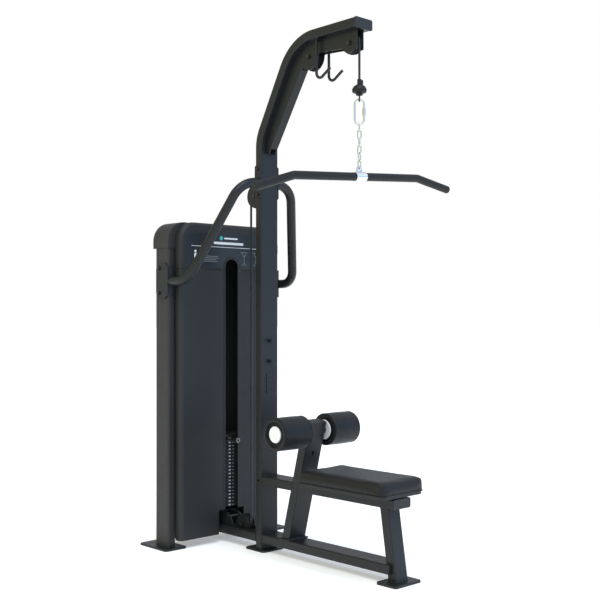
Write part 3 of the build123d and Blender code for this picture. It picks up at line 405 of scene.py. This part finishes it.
def lathe_x(name, profile, y, z, material, segments):
    """Closed lathe about an X axis; profile is a closed loop of (x, radius)."""
    rings = []
    for i in range(segments):
        angle = 2 * math.pi * i / segments
        rings.append([(x, y + radius * math.cos(angle), z + radius * math.sin(angle))
                      for x, radius in profile])
    return make(name, *skin_rings(rings, closed=True), material)


def cord_along(name, points, radius, material, segments, closed=False, ripple=None):
    """Round cord through points; ripple(i, angle) is a relative change of radius."""
    path = [Vector(p) for p in points]
    count = len(path)
    tangents = []
    for i in range(count):
        before = path[i - 1] if closed or i > 0 else path[0]
        after = path[(i + 1) % count] if closed or i < count - 1 else path[-1]
        tangents.append((after - before).normalized())
    reference = Vector((0, 0, 1)) if abs(tangents[0].z) < 0.9 else Vector((1, 0, 0))
    across = tangents[0].cross(reference).normalized()
    rings = []
    for i, (centre, tangent) in enumerate(zip(path, tangents)):
        # carry the last ring's direction along so that the cord does not twist
        across = (across - tangent * across.dot(tangent)).normalized()
        other = tangent.cross(across)
        ring = []
        for j in range(segments):
            angle = 2 * math.pi * j / segments
            reach = radius * (1 + (ripple(i, angle) if ripple else 0))
            ring.append(centre + across * (reach * math.cos(angle))
                        + other * (reach * math.sin(angle)))
        rings.append(ring)
    return make(name, *skin_rings(rings, closed), material)


# 2D outlines: lists of points in the plane that the caller works in
def arc(x, y, radius, start, sweep, steps):
    """Arc points with both ends; start and sweep in degrees."""
    points = []
    for i in range(steps + 1):
        angle = math.radians(start + sweep * i / steps)
        points.append((x + radius * math.cos(angle), y + radius * math.sin(angle)))
    return points


def circle(x, y, radius, steps=28):
    return [(x + radius * math.cos(2 * math.pi * i / steps),
             y + radius * math.sin(2 * math.pi * i / steps)) for i in range(steps)]


def rounded_outline(x, y, half_x, half_y, radius, steps, low_radius=None):
    """Rounded rectangle; low_radius, if given, is for the two low-y corners."""
    if low_radius is None:
        low_radius = radius
    points = []
    for sign_x, sign_y, start, r in ((1, 1, 0, radius), (-1, 1, 90, radius),
                                     (-1, -1, 180, low_radius), (1, -1, 270, low_radius)):
        points += arc(x + sign_x * (half_x - r), y + sign_y * (half_y - r), r,
                      start, 90, steps)
    return points


def panel(x, z, width, height, radius):
    return rounded_outline(x, z, width / 2, height / 2, radius, steps=5)


def stroke(start, end, width):
    """Rectangle of the given width about a line."""
    (xa, za), (xb, zb) = start, end
    length = math.hypot(xb - xa, zb - za)
    nx = -(zb - za) / length * width / 2
    nz = (xb - xa) / length * width / 2
    return [(xa + nx, za + nz), (xa - nx, za - nz), (xb - nx, zb - nz), (xb + nx, zb + nz)]


def level(outline, z):
    return [(x, y, z) for x, y in outline]


def add_print(name, outlines, y_front, y_back, ink, part="frame"):
    """Thin raised print: (x, z) outlines extruded from y_front to y_back."""
    verts, faces = [], []
    for outline in outlines:
        base, size = len(verts), len(outline)
        verts += [(x, y_front, z) for x, z in outline] + [(x, y_back, z) for x, z in outline]
        faces.append(tuple(base + i for i in range(size)))
        faces.append(tuple(base + size + i for i in range(size - 1, -1, -1)))
        for i in range(size):
            k = (i + 1) % size
            faces.append((base + i, base + size + i, base + size + k, base + k))
    obj = make(name, verts, faces, ink, smooth=False)
    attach(obj, part)


# ------------------------------------------------------------------ seat cushion
CUSHION_FRONT_RADIUS, CUSHION_BACK_RADIUS = 0.031, 0.009
CUSHION_MIN_RADIUS = 0.003
CUSHION_PINNED_HEIGHT = 0.012   # the cover stays put below this height
# (inset from the side, height above the underside), from below to above
CUSHION_PROFILE = (
    (0.060, 0.0), (0.012, 0.0), (0.0045, 0.0), (0.0022, 0.0012), (0.0018, 0.004),
    (0.0026, 0.010), (0.0030, 0.024), (0.0030, 0.036), (0.0034, 0.0440), (0.0048, 0.0492),
    (0.0075, 0.0520), (0.012, 0.0532), (0.024, 0.0537), (0.040, 0.0538), (0.075, 0.0538),
    (0.110, 0.0538), (0.128, 0.0538),
)
WELT_INSET, WELT_HEIGHT, WELT_RADIUS = 0.0022, 0.0020, 0.0022
WELT_FRONT_RADIUS, WELT_BACK_RADIUS = 0.029, 0.008


def cloth_puff(obj, pressure, cap, keep_below, voxel=0.0055, frames=20):
    """Swell a closed mesh by at most cap; points lower than keep_below stay put."""
    remesh = obj.modifiers.new("rm", "REMESH")
    remesh.mode = "VOXEL"
    remesh.voxel_size = voxel
    coarse = obj.data
    bake_modifiers(obj)
    bpy.data.meshes.remove(coarse)
    rest = np.array([v.co for v in obj.data.vertices])
    pin = obj.vertex_groups.new(name="pin")
    pin.add([i for i, point in enumerate(rest) if point[2] < keep_below], 1.0, "REPLACE")
    cloth = obj.modifiers.new("cloth", "CLOTH")
    settings = cloth.settings
    settings.quality = 4
    settings.mass = 0.3
    settings.tension_stiffness = 15
    settings.compression_stiffness = 15
    settings.shear_stiffness = 5
    settings.bending_stiffness = 0.6
    settings.use_pressure = True
    settings.uniform_pressure_force = pressure
    settings.vertex_group_mass = "pin"
    settings.effector_weights.gravity = 0.0
    cloth.collision_settings.use_self_collision = False
    cloth.collision_settings.use_collision = False
    scene.frame_start, scene.frame_end = 1, frames
    for frame in range(1, frames + 1):
        scene.frame_set(frame)
    depsgraph = bpy.context.evaluated_depsgraph_get()
    swollen = np.array([v.co for v in obj.evaluated_get(depsgraph).data.vertices])
    obj.modifiers.clear()
    shift = swollen - rest
    length = np.linalg.norm(shift, axis=1, keepdims=True)
    shift = np.where(length > cap, shift * (cap / np.maximum(length, 1e-9)), shift)
    obj.vertex_groups.clear()
    set_points(obj.data, rest + shift)
    obj.data.update()
    scene.frame_set(1)


def build_cushion():
    low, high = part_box("seat_cushion")
    x, y = (low.x + high.x) / 2, (low.y + high.y) / 2
    half_x, half_y = (high.x - low.x) / 2, (high.y - low.y) / 2

    def ring(inset, height, front_radius, back_radius, steps):
        outline = rounded_outline(x, y, half_x - inset, half_y - inset, back_radius,
                                  steps, low_radius=front_radius)
        return level(outline, low.z + height)

    rings = [ring(inset, height,
                  max(CUSHION_FRONT_RADIUS - inset, CUSHION_MIN_RADIUS),
                  max(CUSHION_BACK_RADIUS - inset, CUSHION_MIN_RADIUS), steps=12)
             for inset, height in CUSHION_PROFILE]
    cushion = make("seat_cushion_cover", *skin_rings(rings), VINYL)
    cloth_puff(cushion, pressure=2.0, cap=0.0028, keep_below=low.z + CUSHION_PINNED_HEIGHT)

    # keep the cover in the space of its solid
    side_room, top_room = 0.003, 0.004
    points = np.array([v.co for v in cushion.data.vertices])
    points[:, 2] = np.clip(points[:, 2], low.z, high.z + top_room)
    points[:, 0] = np.clip(points[:, 0], low.x - side_room, high.x + side_room)
    points[:, 1] = np.clip(points[:, 1], low.y - side_room, high.y + side_room)
    set_points(cushion.data, points)
    smoothing = cushion.modifiers.new("sm", "SMOOTH")
    smoothing.factor = 0.5
    smoothing.iterations = 7
    subdivide_and_bake(cushion)
    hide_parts("seat_cushion")
    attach(cushion, "frame")

    # welt along the lower edge
    loop = ring(WELT_INSET, WELT_HEIGHT, WELT_FRONT_RADIUS, WELT_BACK_RADIUS, steps=26)
    welt = cord_along("seat_cushion_welt", loop, WELT_RADIUS, VINYL, segments=12, closed=True)
    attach(welt, "frame")


# ----------------------------------------------------------------- thigh rollers
# End faces as (distance in from that end, radius); inner is the end nearer x = 0
ROLLER_INNER_FACE = ((0.0081, 0.0275), (0.0081, 0.0538), (0.0035, 0.0542),
                     (0.0012, 0.0556), (0.0003, 0.0580), (0.0002, 0.0612))
ROLLER_OUTER_FACE = ((0.0002, 0.0612), (0.0003, 0.0580), (0.0012, 0.0556),
                     (0.0040, 0.0542), (0.0121, 0.0538), (0.0121, 0.0275))
# Rounded rim of both ends: (distance in from the end, drop below the full radius)
ROLLER_RIM = ((0.0006, 0.0052), (0.0014, 0.0030), (0.0022, 0.0018),
              (0.0036, 0.0009), (0.0068, 0.0004))
SLEEVE_MARGIN = 0.008           # from each end to the start of the crowned sleeve
SLEEVE_DROP, SLEEVE_CROWN = 0.0006, 0.0012
SLEEVE_STEPS = 12
SEAM_INSET, SEAM_DROP, SEAM_RADIUS = 0.0046, 0.0012, 0.0014
FOAM_MIN_RADIUS = 0.060         # the waves only touch points outside this radius


def roller_profile(inner, outer, radius):
    """Closed loop of (distance from x = 0, radius)."""
    profile = [(inner + along, r) for along, r in ROLLER_INNER_FACE]
    profile += [(inner + along, radius - drop) for along, drop in ROLLER_RIM]
    for i in range(1, SLEEVE_STEPS):
        t = i / SLEEVE_STEPS
        profile.append((inner + SLEEVE_MARGIN + (outer - inner - 2 * SLEEVE_MARGIN) * t,
                        radius - SLEEVE_DROP + SLEEVE_CROWN * math.sin(math.pi * t)))
    profile += [(outer - along, radius - drop) for along, drop in reversed(ROLLER_RIM)]
    profile += [(outer - along, r) for along, r in ROLLER_OUTER_FACE]
    return profile


def build_roller(side, sign):
    node = "roller_foam_" + side
    low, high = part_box(node)
    y, z = (low.y + high.y) / 2, (low.z + high.z) / 2
    inner, outer = (abs(high.x), abs(low.x)) if sign < 0 else (low.x, high.x)
    radius = (high.z - low.z) / 2
    length = outer - inner
    profile = [(sign * x, r) for x, r in roller_profile(inner, outer, radius)]
    cover = lathe_x("roller_cover_" + side, profile, y, z, ROLLER_VINYL, segments=120)
    # the foam is soft: very shallow waves under the cover
    for vert in cover.data.vertices:
        dy, dz = vert.co.y - y, vert.co.z - z
        if math.hypot(dy, dz) > FOAM_MIN_RADIUS:
            angle = math.atan2(dz, dy)
            fade = math.sin(math.pi * (abs(vert.co.x) - inner) / length)
            swell = (1 + 0.0035 * math.sin(3 * angle + sign) * fade
                     + 0.0018 * math.sin(7 * angle + 31 * vert.co.x))
            vert.co.y = y + dy * swell
            vert.co.z = z + dz * swell
    subdivide_and_bake(cover)
    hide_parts(node)
    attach(cover, "roller_" + side)
    # sewn seams where the end rings join the sleeve
    for i, x in enumerate((inner + SEAM_INSET, outer - SEAM_INSET)):
        ring = [(sign * x, cy, cz) for cy, cz in circle(y, z, radius - SEAM_DROP, steps=96)]
        seam = cord_along("roller_seam_%s_%d" % (side, i), ring, SEAM_RADIUS, THREAD,
                          segments=10, closed=True)
        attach(seam, "roller_" + side)


# ----------------------------------------------------------- straight cables
CABLE_RADIUS = 0.0049
CABLE_STEPS = 240


def cable_strands(i, angle):
    """Six strands, twisting along the cable, that show faintly through the jacket."""
    return 0.022 * math.cos(6 * angle + i * 0.42)


def build_cable(name, node):
    """Straight cable from the top to the bottom of its CAD piece."""
    low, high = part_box(node)
    x, y = (low.x + high.x) / 2, (low.y + high.y) / 2
    points = [(x, y, high.z + (low.z - high.z) * i / CABLE_STEPS)
              for i in range(CABLE_STEPS + 1)]
    cable = cord_along(name, points, CABLE_RADIUS, JACKET, segments=24, ripple=cable_strands)
    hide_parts(node)
    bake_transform(cable)


# ------------------------------------------------------------- weight stack marks
PLATE_COUNT = 19
MARK_X, SMALL_MARK_X = 0.0225, 0.0430
MARK_SIZE = (0.0125, 0.0062, 0.0012)         # width, height, corner radius
SMALL_MARK_SIZE = (0.0105, 0.0042, 0.0010)
SMALL_MARK_DROP = 0.0008
TOP_PLATE_MARK_Z = 0.475
PRINT_PROUD, PRINT_SUNK = 0.0005, 0.0002     # in front of and behind the printed face
# radius and thickness of the painted highlight ring on the selector knob
KNOB_HIGHLIGHT_RADIUS, KNOB_HIGHLIGHT_THICKNESS = 0.0088, 0.0013


def build_stack_marks():
    low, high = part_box("weight_plates")
    pitch = (high.z - low.z) / PLATE_COUNT
    marks, small_marks = [], []
    for i in range(PLATE_COUNT):
        z = low.z + (i + 0.5) * pitch
        for _, sign in SIDES:
            marks.append(panel(sign * MARK_X, z, *MARK_SIZE))
            small_marks.append(panel(sign * SMALL_MARK_X, z - SMALL_MARK_DROP,
                                     *SMALL_MARK_SIZE))
    faces = low.y - PRINT_PROUD, low.y + PRINT_SUNK
    add_print("stack_marks", marks, *faces, INK_WHITE)
    add_print("stack_marks_small", small_marks, *faces, PALE_INK_AND_HIGHLIGHT)

    low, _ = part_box("top_plate")
    marks = [panel(sign * MARK_X, TOP_PLATE_MARK_Z, *MARK_SIZE) for _, sign in SIDES]
    add_print("top_plate_marks", marks, low.y - PRINT_PROUD, low.y + PRINT_SUNK,
              INK_WHITE, part="lifted_stack")


def build_knob_highlight():
    """Pale ring on the front face of the selector knob: a painted highlight standing in for
    the knob's shine.
    """
    low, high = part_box("selector_pin")
    outline = circle(0, (low.z + high.z) / 2, KNOB_HIGHLIGHT_RADIUS, steps=48)
    ring = cord_along("selector_knob_painted_highlight", [(x, low.y + 0.0002, z) for x, z in outline],
                      KNOB_HIGHLIGHT_THICKNESS, PALE_INK_AND_HIGHLIGHT, segments=10, closed=True)
    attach(ring, "stack_pin")


# ------------------------------------------------------------- head cover prints
FILM_HALF_WIDTH, FILM_TOP, FILM_CORNER = 0.262, 1.446, 0.05
FILM_BOTTOM_GAP = 0.006                      # above the lower edge of the cover
SLOT_RADIUS, SLOT_CENTRE_Z = 0.052, 1.289
TEXT_LEFT, TEXT_TOP, TEXT_PITCH = -0.1675, 1.3370, 0.0080
TEXT_WIDTHS = (0.085, 0.09, 0.075, 0.085)    # grey bars, from the top down
FIGURE_X = (0.078, 0.150, 0.216)
FIGURE_HEAD_Z, FIGURE_HEAD_RADIUS = 1.3430, 0.0050
# Lines of each grey figure: x from the figure's middle and z of both ends, line width
FIGURE_LINES = (
    (0, 1.337, 0, 1.312, 0.0034),
    (0, 1.313, -0.011, 1.298, 0.0030),
    (0, 1.313, 0.011, 1.298, 0.0030),
    (-0.022, 1.362, 0.022, 1.362, 0.0026),
    (-0.012, 1.360, 0, 1.334, 0.0024),
    (0.012, 1.360, 0, 1.334, 0.0024),
)


def film_outline(bottom):
    """Label film with round top corners and an arched cut-out for the slot."""
    corner_x, corner_z = FILM_HALF_WIDTH - FILM_CORNER, FILM_TOP - FILM_CORNER
    return [(-FILM_HALF_WIDTH, bottom), (-SLOT_RADIUS, bottom),
            *arc(0, SLOT_CENTRE_Z, SLOT_RADIUS, start=180, sweep=-180, steps=24),
            (SLOT_RADIUS, bottom), (FILM_HALF_WIDTH, bottom),
            *arc(corner_x, corner_z, FILM_CORNER, start=0, sweep=90, steps=8),
            *arc(-corner_x, corner_z, FILM_CORNER, start=90, sweep=90, steps=8)]


def build_head_prints():
    low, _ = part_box("tower_head_cover")
    add_print("head_label_film", [film_outline(low.z + FILM_BOTTOM_GAP)],
              low.y - 0.0004, low.y + 0.0002, LABEL)
    faces = low.y - 0.0008, low.y - 0.0003   # prints lie on the film
    white = [stroke((-0.236, 1.3815), (0.236, 1.3815), width=0.0022),
             panel(-0.017, 1.4000, width=0.178, height=0.0115, radius=0.004),
             panel(-0.004, 1.4235, width=0.082, height=0.0075, radius=0.003),
             circle(-0.214, 1.3570, radius=0.0062),
             panel(-0.214, 1.3360, width=0.013, height=0.026, radius=0.005)]
    add_print("head_print_white", white, *faces, INK_WHITE)
    triangle = [(-0.205, 1.349), (-0.190, 1.325), (-0.220, 1.325)]
    teal = [circle(-0.062, 1.4240, radius=0.0095), triangle]
    add_print("head_print_teal", teal, *faces, INK_TEAL)
    grey = [panel(TEXT_LEFT + width / 2, TEXT_TOP - i * TEXT_PITCH, width,
                  height=0.0030, radius=0.001) for i, width in enumerate(TEXT_WIDTHS)]
    for x in FIGURE_X:
        grey.append(circle(x, FIGURE_HEAD_Z, FIGURE_HEAD_RADIUS))
        grey += [stroke((x + xa, za), (x + xb, zb), width)
                 for xa, za, xb, zb, width in FIGURE_LINES]
    add_print("head_print_grey", grey, *faces, INK_GREY)


# -------------------------------------------------------------------- weld beads
BEAD_RADIUS, BEAD_STEP = 0.0024, 0.0012
BEAM_WELD_Y = 0.0205                         # to the front or back of the column
BEAM_SIDE_X, BEAM_TOP_HALF = 0.0500, 0.046
BEAM_SIDE_HEIGHT, BEAM_TOP_RISE = 0.032, 0.0365   # from the foot of the side beads
FRONT_BEAM_Z, TIE_BEAM_Z = 0.042, 0.302      # foot of the side beads


def bead(name, points, closed=False):
    """Weld bead: a rippled fillet of paint-covered metal along a joint."""
    path = [Vector(p) for p in points]
    count = len(path)
    dense = []
    for i in range(count if closed else count - 1):
        start, end = path[i], path[(i + 1) % count]
        steps = max(2, int((end - start).length / BEAD_STEP))
        dense += [start.lerp(end, k / steps) for k in range(steps)]
    if not closed:
        dense.append(path[-1])
    obj = cord_along("weld_" + name, dense, BEAD_RADIUS, PAINT, segments=8, closed=closed,
                     ripple=lambda i, angle: 0.16 * abs(math.sin(i * 0.55)) - 0.08)
    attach(obj, "frame")


def top_bead(name, y, z):
    bead(name, [(-BEAM_TOP_HALF, y, z), (BEAM_TOP_HALF, y, z)])


def ring_bead(name, centre, half_x, half_y, radius):
    x, y, z = centre
    bead(name, level(rounded_outline(x, y, half_x, half_y, radius, steps=4), z), closed=True)


def build_welds():
    for beam, z in (("front_beam", FRONT_BEAM_Z), ("tie_beam", TIE_BEAM_Z)):
        for side, sign in SIDES:
            x = sign * BEAM_SIDE_X
            bead(beam + "_" + side,
                 [(x, -BEAM_WELD_Y, z), (x, -BEAM_WELD_Y, z + BEAM_SIDE_HEIGHT)])
        top_bead(beam + "_top", -BEAM_WELD_Y, z + BEAM_TOP_RISE)
    ring_bead("column_foot", (0, 0, 0.0085), half_x=0.0505, half_y=0.0205, radius=0.006)
    for side, sign in SIDES:
        ring_bead("post_foot_" + side, (sign * 0.310, 0.350, 0.0085),
                  half_x=0.0205, half_y=0.0505, radius=0.008)
    top_bead("rear_beam_top", BEAM_WELD_Y, FRONT_BEAM_Z + BEAM_TOP_RISE)
    for end, y, z in (("foot", -0.789, 0.0105), ("top", -0.744, 0.2975)):
        ring_bead("seat_leg_" + end, (0, y, z), half_x=0.0355, half_y=0.0235, radius=0.005)
    ring_bead("thigh_post_foot", (0, -0.1797, 0.0845),
              half_x=0.0503, half_y=0.0238, radius=0.006)


# ------------------------------------------------------------------------ studio
FLOOR_HALF, FLOOR_Z = 60.0, -0.0008


def build_floor():
    mesh = bpy.data.meshes.new("floor")
    corners = [(x * FLOOR_HALF, y * FLOOR_HALF, FLOOR_Z)
               for x, y in ((-1, -1), (1, -1), (1, 1), (-1, 1))]
    mesh.from_pydata(corners, [], [(0, 1, 2, 3)])
    floor = bpy.data.objects.new("floor", mesh)
    scene.collection.objects.link(floor)
    material, tree, shader = new_material("floor_paper")
    drift = noise(tree, object_coords(tree), scale=3.0)
    paper = mix(tree, ramp(tree, drift, to=(0.0, 1.0)), (0.93, 0.93, 0.93), (0.95, 0.95, 0.95))
    feed(tree, shader, {"Base Color": paper, "Roughness": 0.75, "Specular IOR Level": 0.15,
                        "Emission Color": (1.0, 1.0, 1.0), "Emission Strength": 0.30})
    mesh.materials.append(material)


def build_world():
    """Blue cast from the front, olive from the left, neutral elsewhere; white to camera."""
    world = bpy.data.worlds.new("studio")
    scene.world = world
    world.use_nodes = True
    tree = world.node_tree
    tree.nodes.clear()
    output = add_node(tree, "OutputWorld", {})
    source = add_node(tree, "TexCoord", {})
    axes = add_node(tree, "SeparateXYZ", {0: source.outputs["Generated"]}).outputs

    def towards_negative(axis):
        facing = calc(tree, "MULTIPLY", axis, -1.0, clamp=True)
        return calc(tree, "POWER", facing, 2.0)

    front, left = towards_negative(axes[1]), towards_negative(axes[0])
    neutral, blue, olive = (0.62, 0.63, 0.67), (0.46, 1.05, 1.95), (1.02, 0.96, 0.36)
    colour = mix(tree, left, mix(tree, front, neutral, blue), olive)
    lighting = add_node(tree, "Background", {"Color": colour, "Strength": 0.92})
    backdrop = add_node(tree, "Background", {"Color": (1, 1, 1), "Strength": 1.0})
    rays = add_node(tree, "LightPath", {})
    either = add_node(tree, "MixShader", {0: rays.outputs["Is Camera Ray"],
                                          1: lighting.outputs[0], 2: backdrop.outputs[0]})
    tree.links.new(either.outputs[0], output.inputs[0])


def add_sun(name, direction, strength, angle, colour=(1, 1, 1)):
    """Sun shining along direction; angle is its apparent size in degrees."""
    light = bpy.data.lights.new(name, "SUN")
    light.energy = strength
    light.angle = math.radians(angle)
    light.color = colour
    obj = bpy.data.objects.new(name, light)
    obj.rotation_mode = "QUATERNION"
    obj.rotation_quaternion = Vector(direction).to_track_quat("-Z", "Y")
    scene.collection.objects.link(obj)


def add_camera():
    """Level camera in front and to the left of the machine."""
    camera = bpy.data.cameras.new("camera")
    camera.sensor_width = 36.0
    camera.lens = 59.76
    camera.shift_y = 0.02383333
    camera.clip_end = 200.0
    obj = bpy.data.objects.new("camera", camera)
    obj.location = (-2.9940, -3.4013, 1.0669)
    obj.rotation_euler = (math.radians(90), 0, math.radians(-43.27))
    scene.collection.objects.link(obj)
    scene.camera = obj


def write_sizes():
    bpy.context.view_layer.update()


paint_cad_pieces()
build_cushion()
for side, sign in SIDES:
    build_roller(side, sign)
build_cable("hanging_cable_run", "cable_hanging")
build_cable("stack_cable_run", "cable_stack")
build_stack_marks()
build_knob_highlight()
build_head_prints()
build_welds()
build_floor()
build_world()
add_sun("key_sun", direction=(0.35, 0.45, -1.0), strength=1.5, angle=40)
add_sun("fill_sun", direction=(-0.5, 0.35, -0.55), strength=0.35, angle=60,
        colour=(0.85, 0.93, 1.0))
add_camera()
scene.view_settings.view_transform = "Standard"
scene.view_settings.look = "None"
write_sizes()
